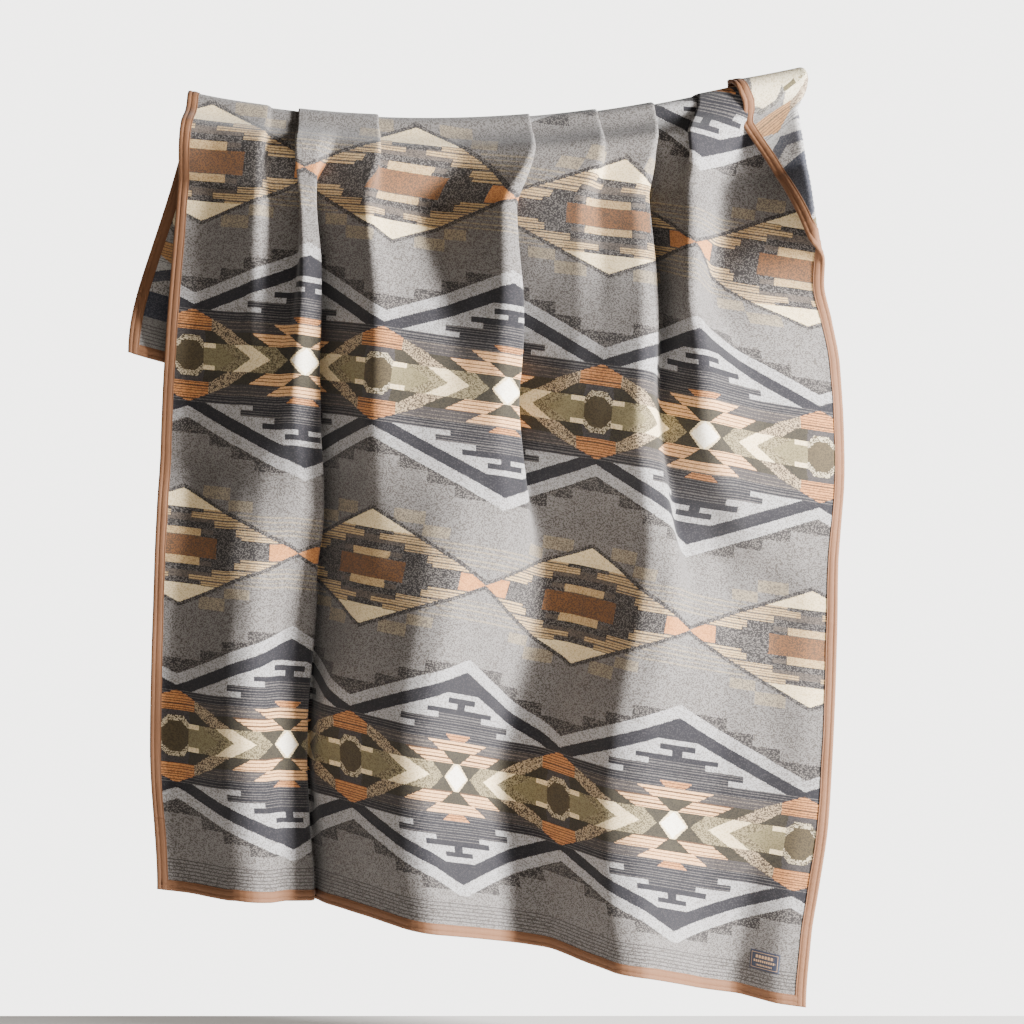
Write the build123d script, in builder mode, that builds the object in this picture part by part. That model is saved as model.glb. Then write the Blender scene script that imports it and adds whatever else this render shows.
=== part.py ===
from build123d import *
import math
import os

import numpy as np

# Camp blanket, 64 x 80 in, hung over a sagging 25 mm rope: a woven wool cloth with a folded
# binding round all four edges, four seams of stitching thread and a small woven label.
# Millimetres.  +X runs along the rope, +Y from the front drop to the back drop, +Z is up.
# The origin is on the rope's centreline, at the lowest point of its sag.

# ---- the flat blanket
CLOTH_W = 1626.0          # across, along the rope
CLOTH_L = 2032.0          # from the front hem over the rope to the back hem
CLOTH_T = 3.6             # thickness of the double cloth

# ---- the rope it hangs on (the rope is not part of the object)
ROPE_R = 12.5
ROPE_SAG = 2.15e-4        # centreline height = ROPE_SAG * x^2
SADDLE_R = ROPE_R + 0.7 + CLOTH_T / 2   # radius of the cloth's middle layer over the rope

# ---- where the fold lies: the front drop is longest at the right
TOP_SHORTEST = 1516.0     # front drop at the shortest place
TOP_SHORTEST_S = 300.0    # its place across the cloth
TOP_GROWTH = 1.66e-4      # growth of the front drop with the distance from that place, squared

# ---- side outline of the hung blanket: heights, then x of the left and right sides
# a height is -1 at the back hem, 0 over the rope and 1 at the front hem
HEIGHTS = (-1.0, 0.0, 0.12, 0.37, 0.60, 0.82, 1.0)
LEFT_X = (-622.0, -502.0, -521.0, -553.0, -568.0, -574.0, -560.0)
RIGHT_X = (690.0, 659.0, 688.0, 758.0, 742.0, 722.0, 684.0)

# ---- the soft folds: place across the cloth at the rope and at the hem, half width,
# and how far each ridge stands out at the heights above
RIDGES = (
    (285.0, 215.0, 150.0, (34.0, 6.0, 40.0, 90.0, 80.0, 80.0, 80.0)),
    (600.0, 720.0, 240.0, (76.0, 8.0, 55.0, 110.0, 165.0, 165.0, 185.0)),
    (1180.0, 1230.0, 210.0, (66.0, 8.0, 55.0, 130.0, 95.0, 95.0, 110.0)),
)
FOLD_LIFT = (4.0, 2.0, 2.0, -14.0, -42.0, -50.0, -45.0)

# ---- the corner of the right side that is turned back over the front, like a lapel
FLAP_W = 142.0            # width turned over, at the rope
FLAP_FRONT = 400.0        # it narrows to nothing this far down the front
FLAP_BACK = 232.0         # and this far down the back
FLAP_POWER = 1.45
FLAP_TURN = 176.0         # degrees the cloth turns at the fold
FLAP_OPENS = 55.0         # below this width the turned corner opens out flat
FLAP_BEND = 24.0          # length of cloth taken by the bend

# ---- binding, thread and label
BIND_W = 20.0             # width of the binding on each face
BIND_T = 1.2              # its thickness
BIND_GAP = 1.4            # air between the binding and the cloth
JOIN_T = 150.0            # the left binding is joined this far above the front hem
JOIN_GAP = 0.6
THREAD_W = 0.9
THREAD_T = 0.6
THREAD_GAP = 0.5
SEAMS_IN = (7.0, 17.8)    # distance of the two stitch lines from the blanket's edge
LABEL_W = 60.0
LABEL_H = 36.0
LABEL_T = 0.8
LABEL_EDGE = 54.0         # from the right side and from the hem
LABEL_GAP = 0.4
LEAN_W = 600.0            # columns nearer the left side than this lean out from the rope
HEM_MARGIN = 29.0         # the hem bindings stop here, at the inner edge of the side bindings

FINE_STEPS = 1626         # integration steps across the cloth

os.makedirs("parts", exist_ok=True)


def smooth(x):
    x = np.clip(x, 0.0, 1.0)
    return x * x * x * (x * (6.0 * x - 15.0) + 10.0)


def at_height(v, values):
    """A value given at the named heights, run smoothly between them."""
    i = int(np.clip(np.searchsorted(HEIGHTS, v, side="right") - 1, 0, len(HEIGHTS) - 2))
    u = (v - HEIGHTS[i]) / (HEIGHTS[i + 1] - HEIGHTS[i])
    return values[i] + (values[i + 1] - values[i]) * (3.0 * u * u - 2.0 * u * u * u)


def front_drop(s):
    """Length of cloth from the front hem up to the top of the rope."""
    return TOP_SHORTEST + TOP_GROWTH * (s - TOP_SHORTEST_S) ** 2


def height_of(s, t):
    """Height number of a place s across and t up from the front hem."""
    d = front_drop(s) - t
    return d / front_drop(s) if d >= 0 else d / (CLOTH_L - front_drop(s))


def flap_width(v):
    drop = front_drop(CLOTH_W - FLAP_W)
    d = v * drop if v >= 0 else -v * (CLOTH_L - drop)
    reach = FLAP_FRONT if v >= 0 else FLAP_BACK
    return FLAP_W * max(0.0, 1.0 - d / reach) ** FLAP_POWER


def plan_line(v):
    """Seen from above: x and stand-out of the cloth's middle layer along one height."""
    s = np.linspace(0.0, CLOTH_W, FINE_STEPS + 1)
    flap = flap_width(v)
    fold_at = CLOTH_W - flap
    left = at_height(v, LEFT_X)
    right = at_height(v, RIGHT_X)
    turn = math.radians(FLAP_TURN) * float(smooth(flap / FLAP_OPENS))
    heading = turn * smooth((s - fold_at) / FLAP_BEND + 0.5)
    gather = (right - left) / fold_at
    rate = np.where(s < fold_at, gather, 1.0) * np.cos(heading)
    step = s[1] - s[0]
    x = left + np.concatenate([[0.0], np.cumsum((rate[1:] + rate[:-1]) / 2.0) * step])
    rise = np.sin(heading)
    out = np.concatenate([[0.0], np.cumsum((rise[1:] + rise[:-1]) / 2.0) * step])
    out = out + at_height(v, FOLD_LIFT)
    down = np.clip(v, 0.0, 1.0)
    flat_s = np.minimum(s, fold_at)
    for at_rope, at_hem, half, amounts in RIDGES:
        centre = at_rope + (at_hem - at_rope) * down
        bump = 0.5 + 0.5 * np.cos(np.pi * np.clip((flat_s - centre) / half, -1.0, 1.0))
        out = out + at_height(v, amounts) * bump
    return s, x, out


PLANS = {0.0: plan_line(0.0)}


def middle(s, v):
    """A point of the cloth's middle layer, s across the cloth at height v."""
    key = round(v, 6)
    if key not in PLANS:
        PLANS[key] = plan_line(v)
    fine, xs, outs = PLANS[key]
    x = float(np.interp(s, fine, xs))
    hung_at = float(np.interp(s, fine, PLANS[0.0][1]))
    own = float(smooth(s / LEAN_W))
    radius = SADDLE_R + float(np.interp(s, fine, outs))
    d = v * front_drop(s) if v >= 0 else v * (CLOTH_L - front_drop(s))
    angle = max(-math.pi / 2, min(math.pi / 2, d / SADDLE_R))
    below = max(abs(d) - SADDLE_R * math.pi / 2, 0.0)
    y = -radius * math.sin(angle)
    rope_height = ROPE_SAG * (hung_at * hung_at * (1.0 - own) + x * x * own)
    z = rope_height + radius * math.cos(angle) - below
    return Vector(x, y, z)


def frame(s, v):
    """Point, direction across, direction down the front and outward direction."""
    ds, dv = 2.0, 0.002
    s0, s1 = max(0.0, s - ds), min(CLOTH_W, s + ds)
    v0, v1 = max(-1.0, v - dv), min(1.0, v + dv)
    across = (middle(s1, v) - middle(s0, v)).normalized()
    down = (middle(s, v1) - middle(s, v0)).normalized()
    outward = down.cross(across).normalized()
    return middle(s, v), across, down, outward


def off_middle(s, v, distance):
    point, _, _, outward = frame(s, v)
    return point + outward * distance


def sheet_solid(across, heights, inside, outside):
    """A closed sheet following the drape between two distances from the middle layer.

    across(v) gives the places across at one height.  Each height is one spline on either
    side of the sheet, and ruled faces run from height to height.
    """
    inner, outer = [], []
    for v in heights:
        places = across(v)
        inner.append(Edge.make_spline([off_middle(s, v, inside) for s in places]))
        outer.append(Edge.make_spline([off_middle(s, v, outside) for s in places]))
    faces = []
    for side in (inner, outer):
        for one, other in zip(side, side[1:]):
            faces.append(Face.make_surface_from_curves(one, other))
    for end in (0, -1):
        faces.append(Face.make_surface_from_curves(inner[end], outer[end]))
    for one in range(len(heights) - 1):
        for end in (0, 1):
            corner_a, corner_b = inner[one] @ end, inner[one + 1] @ end
            corner_c, corner_d = outer[one] @ end, outer[one + 1] @ end
            faces.append(Face.make_surface_from_curves(
                Edge.make_line(corner_a, corner_b), Edge.make_line(corner_c, corner_d)))
    return Solid(Shell(faces))


def beside(along, place, past, lift):
    """A point by one edge of the blanket, carried by the cloth's own shape.

    place runs along the edge: a height on the left and right, an s on the hems.  past is the
    distance beyond the edge, negative on the cloth; lift is the distance off the middle layer.
    """
    inside = max(0.0, -past)
    if along in ("left", "right"):
        s = inside if along == "left" else CLOTH_W - inside
        point, across, down, outward = frame(s, place)
        edge_out = -across if along == "left" else across
    else:
        t = inside if along == "front" else CLOTH_L - inside
        point, across, down, outward = frame(place, height_of(place, t))
        edge_out = down if along == "front" else -down
    return point + edge_out * max(0.0, past) + outward * lift


def channel_profile():
    """The binding folded round the edge, a U open towards the cloth: its inner and outer line."""
    inner = CLOTH_T / 2 + BIND_GAP
    outer = inner + BIND_T
    on_cloth = [-BIND_W * share for share in (1.0, 0.75, 0.5, 0.25, 0.0)]
    lines = []
    for past, lift in ((BIND_GAP, inner), (BIND_GAP + BIND_T, outer)):
        reach = on_cloth + [past]
        lines.append([(px, lift) for px in reach] + [(px, -lift) for px in reversed(reach)])
    return lines


def thread_profile(inset, side):
    """One line of thread lying on the binding, on the front (1) or the reverse (-1)."""
    low = side * (CLOTH_T / 2 + BIND_GAP + BIND_T + THREAD_GAP)
    high = low + side * THREAD_T
    left, right = -inset - THREAD_W / 2, -inset + THREAD_W / 2
    return [[(left, low), (right, low)], [(left, high), (right, high)]]


def side_places(v_from, v_to):
    """Places down one side, at the same heights as the cloth's own rulings."""
    return [v_from] + [v for v in CLOTH_HEIGHTS if v_from + 0.004 < v < v_to - 0.004] + [v_to]


def hem_places(v):
    inner = HEM_MARGIN + 6.0
    between = [s for s in cloth_places(v) if inner < s < CLOTH_W - inner]
    return [HEM_MARGIN] + between + [CLOTH_W - HEM_MARGIN]


def quad(a, b, c, d):
    """The ruled face between the straight lines a-b and c-d."""
    return Face.make_surface_from_curves(Edge.make_line(a, b), Edge.make_line(c, d))


def edge_solid(along, places, profile):
    """A closed strip along a side: its profile at each place, ruled from place to place."""
    rings = []
    for place in places:
        rings.append([[beside(along, place, past, lift) for past, lift in line]
                      for line in profile])
    faces = []
    for ring, after in zip(rings, rings[1:]):
        for line, line_after in zip(ring, after):
            for k in range(len(line) - 1):
                faces.append(quad(line[k], line[k + 1], line_after[k], line_after[k + 1]))
        for k in (0, -1):
            faces.append(quad(ring[0][k], ring[1][k], after[0][k], after[1][k]))
    for low_line, high_line in (rings[0], rings[-1]):
        for k in range(len(low_line) - 1):
            faces.append(quad(low_line[k], low_line[k + 1], high_line[k], high_line[k + 1]))
    return Solid(Shell(faces))


def hem_solid(along, profile):
    """A closed strip along a hem: one spline along it for each point of the profile."""
    places = hem_places(1.0 if along == "front" else -1.0)
    lines = []
    for line in profile:
        lines.append([Edge.make_spline([beside(along, s, past, lift) for s in places])
                      for past, lift in line])
    faces = []
    for line in lines:
        for one, other in zip(line, line[1:]):
            faces.append(Face.make_surface_from_curves(one, other))
    for k in (0, -1):
        faces.append(Face.make_surface_from_curves(lines[0][k], lines[1][k]))
    for end in (0, 1):
        ends = [[edge @ end for edge in line] for line in lines]
        for k in range(len(ends[0]) - 1):
            faces.append(quad(ends[0][k], ends[0][k + 1], ends[1][k], ends[1][k + 1]))
    return Solid(Shell(faces))


def cloth_places(v):
    """Places across the cloth for one height, closer together at the turned-back fold."""
    fold_at = min(CLOTH_W - flap_width(v), CLOTH_W - 60.0)
    flat = list(np.linspace(0.0, fold_at - 24.0, 44))
    bend = list(np.linspace(fold_at - 12.0, fold_at + 12.0, 9))
    flap = list(np.linspace(fold_at + 24.0, CLOTH_W, 6))
    return flat + bend + flap


# ---- woven cloth
ARC = SADDLE_R / 1600.0
BACK_ARC = SADDLE_R / 380.0
JOIN_V = height_of(0.0, JOIN_T)
CLOTH_HEIGHTS = (
    [-1.0, -0.84, -0.68, -0.54, -0.42, -0.33, -0.26, -0.2, -0.14, -0.1]
    + [-BACK_ARC * a for a in (1.57, 1.05, 0.52)]
    + [0.0]
    + [ARC * a for a in (0.52, 1.05, 1.57)]
    + [0.03, 0.05, 0.07, 0.09, 0.11, 0.13, 0.15, 0.165, 0.18, 0.195, 0.21, 0.225, 0.24, 0.27]
    + [0.31, 0.36, 0.42, 0.48, 0.54, 0.6, 0.66, 0.72, 0.78, 0.84, JOIN_V, 0.95, 1.0]
)
with BuildPart() as woven_cloth:
    add(sheet_solid(cloth_places, CLOTH_HEIGHTS, -CLOTH_T / 2, CLOTH_T / 2))
woven_cloth.part.label = "woven_cloth"

# ---- binding of the left side, in two lengths that meet near the front hem
with BuildPart() as binding_left_lower:
    below_join = side_places(height_of(0.0, JOIN_T - JOIN_GAP), 1.0)
    add(edge_solid("left", below_join, channel_profile()))
binding_left_lower.part.label = "binding_left_lower"

with BuildPart() as binding_left_upper:
    add(edge_solid("left", side_places(-1.0, JOIN_V), channel_profile()))
binding_left_upper.part.label = "binding_left_upper"

# ---- binding of the right side
with BuildPart() as binding_right:
    add(edge_solid("right", side_places(-1.0, 1.0), channel_profile()))
binding_right.part.label = "binding_right"

# ---- bindings of the two hems
with BuildPart() as binding_front_hem:
    add(hem_solid("front", channel_profile()))
binding_front_hem.part.label = "binding_front_hem"

with BuildPart() as binding_back_hem:
    add(hem_solid("back", channel_profile()))
binding_back_hem.part.label = "binding_back_hem"

# ---- label sewn on the front, near the right side and the hem
LABEL_S = CLOTH_W - LABEL_EDGE - LABEL_W
with BuildPart() as label:
    low = height_of(LABEL_S, LABEL_EDGE)
    high = height_of(LABEL_S, LABEL_EDGE + LABEL_H)
    base = CLOTH_T / 2 + LABEL_GAP
    add(sheet_solid(lambda v: np.linspace(LABEL_S, LABEL_S + LABEL_W, 5),
                    [high, low], base, base + LABEL_T))
label.part.label = "label"

PIECES = [woven_cloth, binding_left_lower, binding_left_upper, binding_right,
          binding_front_hem, binding_back_hem, label]

# ---- stitching: two lines on each face of every binding
with BuildPart() as stitching_left:
    for inset in SEAMS_IN:
        for side in (-1, 1):
            add(edge_solid("left", side_places(-0.995, 0.998), thread_profile(inset, side)))
stitching_left.part.label = "stitching_left"

with BuildPart() as stitching_right:
    for inset in SEAMS_IN:
        for side in (-1, 1):
            add(edge_solid("right", side_places(-0.995, 0.998), thread_profile(inset, side)))
stitching_right.part.label = "stitching_right"

with BuildPart() as stitching_front_hem:
    for inset in SEAMS_IN:
        for side in (-1, 1):
            add(hem_solid("front", thread_profile(inset, side)))
stitching_front_hem.part.label = "stitching_front_hem"

with BuildPart() as stitching_back_hem:
    for inset in SEAMS_IN:
        for side in (-1, 1):
            add(hem_solid("back", thread_profile(inset, side)))
stitching_back_hem.part.label = "stitching_back_hem"

PIECES += [stitching_left, stitching_right, stitching_front_hem, stitching_back_hem]

for piece in PIECES:
    export_step(piece.part, f"parts/{piece.part.label}.step")
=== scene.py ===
import math

import bpy
import numpy as np
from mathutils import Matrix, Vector


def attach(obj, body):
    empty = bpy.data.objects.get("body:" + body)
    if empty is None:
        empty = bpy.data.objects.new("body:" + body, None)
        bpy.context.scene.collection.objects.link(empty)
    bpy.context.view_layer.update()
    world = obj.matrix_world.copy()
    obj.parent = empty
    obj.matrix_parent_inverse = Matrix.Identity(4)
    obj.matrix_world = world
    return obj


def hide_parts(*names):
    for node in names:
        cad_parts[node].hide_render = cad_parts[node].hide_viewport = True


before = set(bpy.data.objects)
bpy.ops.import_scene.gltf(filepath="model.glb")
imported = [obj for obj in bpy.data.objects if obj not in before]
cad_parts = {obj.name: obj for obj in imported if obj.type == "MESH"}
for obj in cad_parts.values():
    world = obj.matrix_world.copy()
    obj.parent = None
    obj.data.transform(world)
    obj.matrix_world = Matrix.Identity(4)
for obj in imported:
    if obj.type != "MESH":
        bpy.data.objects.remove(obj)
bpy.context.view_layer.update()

# Camp blanket hung over a sagging rope.  Lengths below are in millimetres; MM turns them
# into Blender's metres.  A place on the flat blanket is (s, t): s across from the left side,
# t up from the front hem.  A height v is -1 at the back hem, 0 over the rope and 1 at the
# front hem.

MM = 0.001

# ---- the flat blanket
CLOTH_W = 1626.0
CLOTH_L = 2032.0
HALF_T = 1.8                    # half the thickness of the cloth

# ---- where it lies on the rope
SADDLE_R = 15.0
ROPE_SAG = 2.15e-4
TOP_SHORTEST = 1516.0
TOP_SHORTEST_S = 300.0
TOP_GROWTH = 1.66e-4
TOP_SHARE = 0.22                # how much of a fold's depth is left right over the rope
TOP_REACH = 95.0                # distance from the rope at which folds have all their depth
BACK_DEPTH = 0.62               # the back drop lies flatter
BACK_REACH = 160.0              # this far down the back and beyond
LEAN_W = 600.0                  # columns nearer the left side than this lean from the rope

# ---- the corner turned back over the front
FLAP_W = 142.0
FLAP_FRONT = 432.0
FLAP_BACK = 232.0
FLAP_POWER = 1.45
FLAP_TURN = 178.0
FLAP_OPENS = 23.0
FLAP_BEND = 16.0

# ---- folds: at each height, where the cloth turns, the heading it turns to (degrees from
# straight across, positive towards the viewer) and the length of cloth taken by the turn
HEIGHTS = (-1.0, 0.0, 0.12, 0.37, 0.60, 0.82, 1.0)
LEFT_X = (-622, -502, -521, -553, -568, -574, -560)
FOLD_LIFT = (0, 0, -10, -38, -78, -86, -80)
FOLDS = (
    ((0, 0, 1), (0, 0, 1), (0, 5, 1), (0, 0, 1), (0, 0, 1),
     (0, 0, 1), (0, 0, 1)),
    ((60, 10, 60), (60, 5, 30), (60, 26, 40), (60, 30, 50), (60, 31, 60),
     (60, 36, 60), (60, 34, 60)),
    ((165, -48, 40), (152, -75, 12), (165, -50, 20), (190, 25, 40), (170, 14, 60),
     (170, 10, 60), (170, 10, 60)),
    ((215, 40, 40), (172, 3, 12), (200, 8, 25), (230, 28, 40), (215, -36, 50),
     (210, -42, 50), (210, -42, 60)),
    ((262, 52, 40), (248, 142, 12), (258, 100, 18), (262, 26, 20), (270, -38, 20),
     (270, -46, 20), (270, -46, 20)),
    ((300, -34, 30), (281, 4, 12), (290, -25, 18), (286, -36, 24), (300, -38, 24),
     (300, -50, 24), (300, -50, 24)),
    ((335, -58, 34), (330, 4, 20), (325, -120, 18), (338, -100, 18), (352, -100, 20),
     (360, -100, 22), (352, -96, 26)),
    ((392, 54, 40), (360, 6, 20), (366, 32, 20), (395, 49, 22), (398, 55, 24),
     (412, 72, 26), (400, 66, 30)),
    ((462, -54, 40), (434, -140, 12), (498, -48, 20), (560, -12, 60), (560, 28, 80),
     (465, 40, 40), (460, 44, 40)),
    ((536, 50, 40), (464, 5, 12), (534, -22, 30), (640, 0, 60), (690, 0, 60),
     (680, 14, 60), (680, 16, 60)),
    ((610, 20, 50), (640, 5, 30), (640, 34, 60), (720, 6, 60), (740, -42, 60),
     (725, -50, 70), (725, -46, 70)),
    ((690, -40, 50), (775, -150, 12), (800, -40, 30), (795, -34, 40), (830, -50, 60),
     (830, -48, 60), (830, -46, 60)),
    ((745, -54, 40), (792, -150, 12), (826, -125, 18), (845, -118, 22), (900, -50, 60),
     (900, -48, 60), (900, -46, 60)),
    ((805, 54, 40), (810, 5, 12), (868, 12, 20), (889, 27, 24), (985, 4, 60),
     (950, 0, 60), (950, 0, 60)),
    ((885, -54, 40), (966, -138, 12), (1012, -32, 24), (1010, 28, 40), (1045, 40, 60),
     (1010, 44, 60), (1010, 46, 60)),
    ((960, 52, 40), (989, 5, 12), (1050, 10, 30), (1060, 24, 40), (1120, 42, 60),
     (1100, 40, 60), (1100, 44, 60)),
    ((1035, -38, 40), (1112, -150, 12), (1122, -26, 26), (1155, -46, 34), (1210, 2, 60),
     (1190, 0, 60), (1190, 0, 60)),
    ((1075, -58, 40), (1131, -150, 12), (1150, -125, 18), (1185, -66, 30), (1268, -46, 60),
     (1240, -36, 60), (1240, -44, 60)),
    ((1130, 50, 40), (1151, 4, 12), (1194, 22, 20), (1228, 32, 34), (1340, -32, 50),
     (1330, -30, 60), (1330, -44, 60)),
    ((1185, 54, 40), (1270, 100, 10), (1275, 30, 20), (1290, 24, 40), (1420, -4, 60),
     (1410, -8, 60), (1410, -26, 60)),
    ((1240, -42, 50), (1284, -2, 10), (1312, -32, 40), (1325, -30, 60), (1500, 10, 60),
     (1500, 12, 60), (1480, 24, 60)),
    ((1352, 24, 60), (1450, -2, 40), (1405, 16, 60), (1450, -16, 60), (1570, -4, 40),
     (1570, -6, 40), (1570, -6, 40)),
)
RIPPLES = (                     # gentle waves: waves per metre across and down, phase, size
    (3.1, 1.3, 0.4, 1.1),
    (5.3, -2.2, 2.1, 0.7),
    (8.7, 1.9, 4.0, 0.45),
    (2.3, 4.4, 1.3, 0.8),
    (12.1, -5.2, 5.2, 0.3),
    (6.1, 7.9, 3.3, 0.35),
)

# x of the right side's fold or edge, from the back hem to the front hem
RIGHT_EDGE = (
    (-1.0, 676), (-0.5, 640), (-0.1, 655), (0.0, 659), (0.14, 686), (0.235, 706), (0.28, 728),
    (0.33, 744), (0.455, 757), (0.54, 748), (0.625, 742), (0.726, 732), (0.81, 723),
    (0.88, 706), (0.93, 692), (1.0, 682),
)
GATHER_FROM = 1190.0            # only the cloth to the right of this is gathered to that edge
GATHER_FADE = 60.0              # over this length of cloth
GATHER_DOWN = 0.06              # and from this height down
RIPPLE_REACH = 180.0            # ripples have their full size this far from the rope

# ---- grid of the cloth
FINE_COLUMNS = ((150, 182), (240, 305), (320, 415), (425, 475), (490, 545), (765, 900),
                (960, 1065), (1105, 1235), (1265, 1300), (1480, 1626))
FINE_PITCH = 3.2
COARSE_PITCH = 6.5
FINE_STEPS = 3253               # points used to add up the headings across the cloth
FRONT_ROWS = 166                # rows of the grid down the front, down the back, and over
BACK_ROWS = 57                  # the rope on the front side and on the back side
OVER_FRONT = 7
OVER_BACK = 8
FRONT_OVER = 24.0 / 1540.0      # heights at which the cloth has left the rope
BACK_OVER = 24.0 / 500.0

# ---- binding, seams and label
SEAMS_IN = (7.0, 17.8)
JOIN_T = 150.0
JOIN_LAP = 14.0
STITCH_PITCH = 4.2
STITCH_LENGTH = 3.1
STITCH_SUNK = 2.5               # height of a stitch's ends over the cloth's middle layer
STITCH_ARCH = 0.55
STITCH_RINGS = 4
STITCH_SIDES = 5
THREAD_R = 0.42
TAPE_PITCH = 3.2                # grid spacing along the binding
LABEL_W = 60.0
LABEL_H = 36.0
LABEL_EDGE = 54.0


# ------------------------------------------------------------------ the drape

def smooth(x):
    """Eases from 0 to 1 as x goes from 0 to 1."""
    x = np.clip(x, 0.0, 1.0)
    return x * x * x * (x * (6.0 * x - 15.0) + 10.0)


def at_height(v, values, heights=HEIGHTS):
    """A value given at the named heights; a cubic runs between them and never overshoots."""
    xs = np.asarray(heights, float)
    ys = np.asarray(values, float)
    gaps = np.diff(xs)
    rates = np.diff(ys) / gaps
    slopes = np.zeros_like(ys)
    for i in range(1, len(xs) - 1):
        if rates[i - 1] * rates[i] > 0:
            slopes[i] = 2.0 * rates[i - 1] * rates[i] / (rates[i - 1] + rates[i])
    i = int(np.clip(np.searchsorted(xs, v, side="right") - 1, 0, len(xs) - 2))
    u = (v - xs[i]) / gaps[i]
    return ((1 + 2 * u) * (1 - u) ** 2 * ys[i] + u * (1 - u) ** 2 * gaps[i] * slopes[i]
            + u * u * (3 - 2 * u) * ys[i + 1] + u * u * (u - 1) * gaps[i] * slopes[i + 1])


def front_drop(s):
    """Length of cloth from the front hem up to the top of the rope."""
    return TOP_SHORTEST + TOP_GROWTH * (s - TOP_SHORTEST_S) ** 2


def flap_width(v):
    """Width of the corner turned back over the front, at one height."""
    drop = front_drop(CLOTH_W - FLAP_W)
    d = v * drop if v >= 0 else -v * (CLOTH_L - drop)
    reach = FLAP_FRONT if v >= 0 else FLAP_BACK
    return FLAP_W * max(0.0, 1.0 - d / reach) ** FLAP_POWER


def plan_line(v, fine):
    """Seen from above, along one height: x, stand-out, and stand-out of the turned corner."""
    heading = np.zeros_like(fine)
    before = 0.0
    for fold in FOLDS:
        start, angle, width = (at_height(v, [level[k] for level in fold]) for k in range(3))
        heading += (angle - before) * smooth((fine - start) / width + 0.5)
        before = angle
    flap = flap_width(v)
    step = fine[1] - fine[0]
    left = at_height(v, LEFT_X)
    heading = np.radians(heading)
    heading *= gathered(v, fine, heading, flap, left, step)
    turn = math.radians(FLAP_TURN) * smooth(flap / FLAP_OPENS)
    heading += turn * smooth((fine - (CLOTH_W - flap)) / FLAP_BEND + 0.5)
    x = left + running_sum(np.cos(heading)) * step
    out = running_sum(np.sin(heading)) * step
    turned = np.where(fine > CLOTH_W - flap, out - np.interp(CLOTH_W - flap, fine, out), 0.0)
    folds = out - turned
    return x, folds - folds.min() + at_height(v, FOLD_LIFT), turned


def gathered(v, fine, heading, flap, left, step):
    """How much steeper the right part's folds are, so that its side lands on its outline."""
    wanted = at_height(v, *reversed(list(zip(*RIGHT_EDGE))))
    share = smooth((fine - GATHER_FROM) / GATHER_FADE) * smooth(v / GATHER_DOWN)
    fold_at = CLOTH_W - flap
    low, high = -0.9, 1.6
    for _ in range(16):
        more = (low + high) / 2.0
        steeper = 1.0 + more * share
        x = left + running_sum(np.cos(heading * steeper)) * step
        if np.interp(fold_at, fine, x) > wanted:
            low = more
        else:
            high = more
    return steeper


def running_sum(values):
    """Sum so far at each point of a line, by trapezia of unit width."""
    return np.concatenate([[0.0], np.cumsum((values[1:] + values[:-1]) / 2.0)])


def grid_columns():
    """Places of the grid columns across the cloth, close together at the tight folds."""
    places = [0.0]
    while places[-1] < CLOTH_W:
        fine = any(low <= places[-1] < high for low, high in FINE_COLUMNS)
        places.append(places[-1] + (FINE_PITCH if fine else COARSE_PITCH))
    places[-1] = CLOTH_W
    return np.array(places)


def grid_rows():
    """Heights of the grid rows: even down both drops, close together over the rope."""
    down_front = np.linspace(FRONT_OVER, 1.0, FRONT_ROWS)
    down_back = -np.linspace(BACK_OVER, 1.0, BACK_ROWS)[::-1]
    over_front = np.linspace(0.0, FRONT_OVER, OVER_FRONT)[1:-1]
    over_back = -np.linspace(0.0, BACK_OVER, OVER_BACK)[::-1][1:]
    return np.concatenate([down_back, over_back, over_front, down_front])


def normals_of(points):
    """Outward unit normals of a grid of points."""
    across = np.gradient(points, axis=1)
    down = np.gradient(points, axis=0)
    out = np.cross(down, across)
    return out / np.maximum(np.linalg.norm(out, axis=2, keepdims=True), 1e-9)


COLUMNS = grid_columns()
ROWS = grid_rows()


def drape_grid():
    """The cloth's middle layer on the grid, with its outward normals."""
    fine = np.linspace(0.0, CLOTH_W, FINE_STEPS)
    points = np.zeros((len(ROWS), len(COLUMNS), 3))
    drop = front_drop(COLUMNS)
    hung_at = np.interp(COLUMNS, fine, plan_line(0.0, fine)[0])
    own = smooth(COLUMNS / LEAN_W)
    for row, v in enumerate(ROWS):
        x_fine, out_fine, turned_fine = plan_line(v, fine)
        x = np.interp(COLUMNS, fine, x_fine)
        d = v * drop if v >= 0 else v * (CLOTH_L - drop)
        depth = TOP_SHARE + (1.0 - TOP_SHARE) * smooth(np.abs(d) / TOP_REACH)
        depth *= 1.0 - (1.0 - BACK_DEPTH) * smooth(-d / BACK_REACH)
        radius = SADDLE_R + np.interp(COLUMNS, fine, out_fine) * depth
        radius += np.interp(COLUMNS, fine, turned_fine)
        angle = np.clip(d / SADDLE_R, -math.pi / 2, math.pi / 2)
        below = np.maximum(np.abs(d) - SADDLE_R * math.pi / 2, 0.0)
        points[row, :, 0] = x
        points[row, :, 1] = -radius * np.sin(angle)
        rope_height = ROPE_SAG * (hung_at ** 2 * (1.0 - own) + x ** 2 * own)
        points[row, :, 2] = rope_height + radius * np.cos(angle) - below
    s, t = flat_places()
    waves = np.zeros_like(s)
    for across, down, phase, size in RIPPLES:
        waves += size * np.sin(2 * math.pi * (across * s + down * t) * MM + phase)
    free = smooth(np.abs(drop[None, :] - t) / RIPPLE_REACH)
    points += normals_of(points) * (waves * free)[:, :, None]
    return points, normals_of(points)


def flat_places():
    """(s, t) of every grid point."""
    drop = front_drop(COLUMNS)[None, :]
    v = ROWS[:, None]
    d = np.where(v >= 0, v * drop, v * (CLOTH_L - drop))
    return np.broadcast_to(COLUMNS[None, :], d.shape), drop - d


MIDDLE, OUTWARD = drape_grid()


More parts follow.
